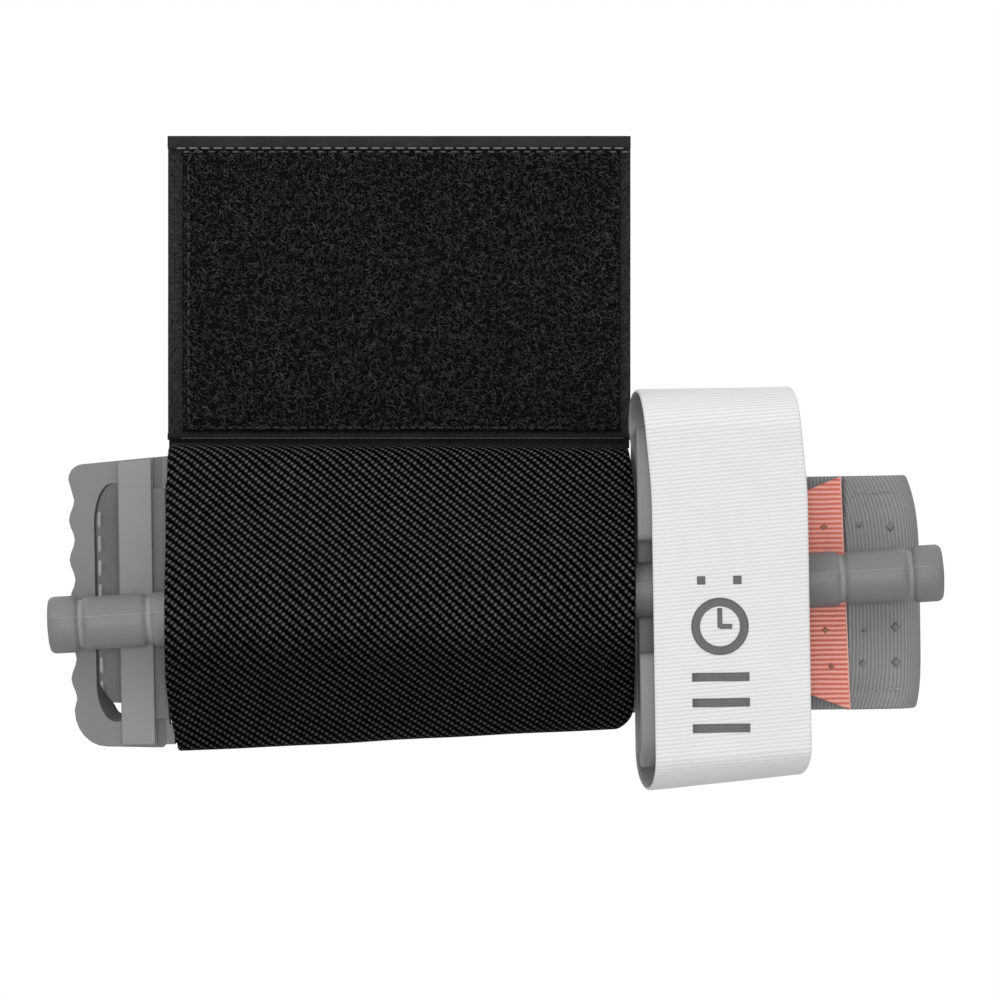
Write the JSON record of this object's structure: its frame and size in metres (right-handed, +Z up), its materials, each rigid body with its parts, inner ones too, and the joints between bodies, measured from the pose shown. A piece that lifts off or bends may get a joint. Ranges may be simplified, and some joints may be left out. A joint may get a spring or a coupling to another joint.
{
  "type": "tourniquet",
  "caption": "Windlass tourniquet, folded flat and stowed in an elastic sleeve that hangs from a hook-and-loop flap.",
  "frame": {"origin": "centre of the hook field's back face, where the holder fastens to a carrier", "axes": "+X to the right along the stowed belt, +Y into the carrier, +Z up"},
  "size_m": [0.145, 0.0306, 0.1061],
  "materials": {
    "nylon": "woven nylon",
    "webbing_black": "ribbed webbing tape",
    "loop": "knitted loop pile",
    "hook": "moulded hooks",
    "elastic": "twill elastic",
    "webbing_grey": "ribbed webbing",
    "webbing_red": "ribbed webbing",
    "plastic": "moulded, satin",
    "plastic_light": "moulded, satin",
    "rod": "moulded, satin",
    "loop_grey": "knitted loop pile",
    "hook_grey": "moulded hooks",
    "strap_white": "ribbed tape",
    "steel": "plain"
  },
  "bodies": {
    "holder": {"flap_panel": "nylon", "top_hem": "webbing_black", "loop_field": "loop", "hook_field": "hook", "seam_tape": "webbing_black"},
    "sleeve": {"elastic_sleeve": "elastic"},
    "tourniquet": {"outer_band": "webbing_grey", "fixed_end_loop": "webbing_grey", "base_plate": "plastic", "windlass_clip": "plastic", "red_tip": "webbing_red", "time_strap_back": "strap_white", "time_loop_patch": "loop_grey"},
    "windlass": {"windlass_rod": "rod", "windlass_strap": "webbing_grey"},
    "time_flap": {"time_strap_front": "strap_white", "time_hook_patch": "hook_grey"},
    "buckle": {"buckle_frame": "plastic", "buckle_cover": "plastic_light", "buckle_pin": "steel"},
    "prongs": {"prong_plate": "plastic", "prong_spring": "steel"}
  },
  "joints": [
    {"name": "sleeve_swing", "type": "hinge", "parent": "holder", "child": "sleeve", "pos_m": [0, -0.0022, -0.02525], "axis": [-1, 0, 0], "range_deg": [0, 60]},
    {"name": "tourniquet_slide", "type": "slide", "parent": "sleeve", "child": "tourniquet", "axis": [0.9999, 0, 0.0157], "range_m": [0, 0.1], "deforming": ["elastic_sleeve"]},
    {"name": "windlass_turn", "type": "hinge", "parent": "tourniquet", "child": "windlass", "pos_m": [0.0159, -0.0216, -0.0509], "axis": [0, 1, 0], "range_deg": [-4, 4]},
    {"name": "time_strap_open", "type": "hinge", "parent": "tourniquet", "child": "time_flap", "pos_m": [0.05227, -0.0301, -0.02352], "axis": [-0.9999, 0, -0.0157], "range_deg": [0, 100]},
    {"name": "buckle_tilt", "type": "hinge", "parent": "tourniquet", "child": "buckle", "pos_m": [-0.03379, -0.013, -0.05168], "axis": [0.0157, 0, -0.9999], "range_deg": [0, 8]},
    {"name": "prong_lift", "type": "hinge", "parent": "buckle", "child": "prongs", "pos_m": [-0.04089, -0.0146, -0.05179], "axis": [-0.0157, 0, 0.9999], "range_deg": [0, 20], "stiffness_Nm_per_rad": 0.002, "springref_deg": -17.19}
  ]
}
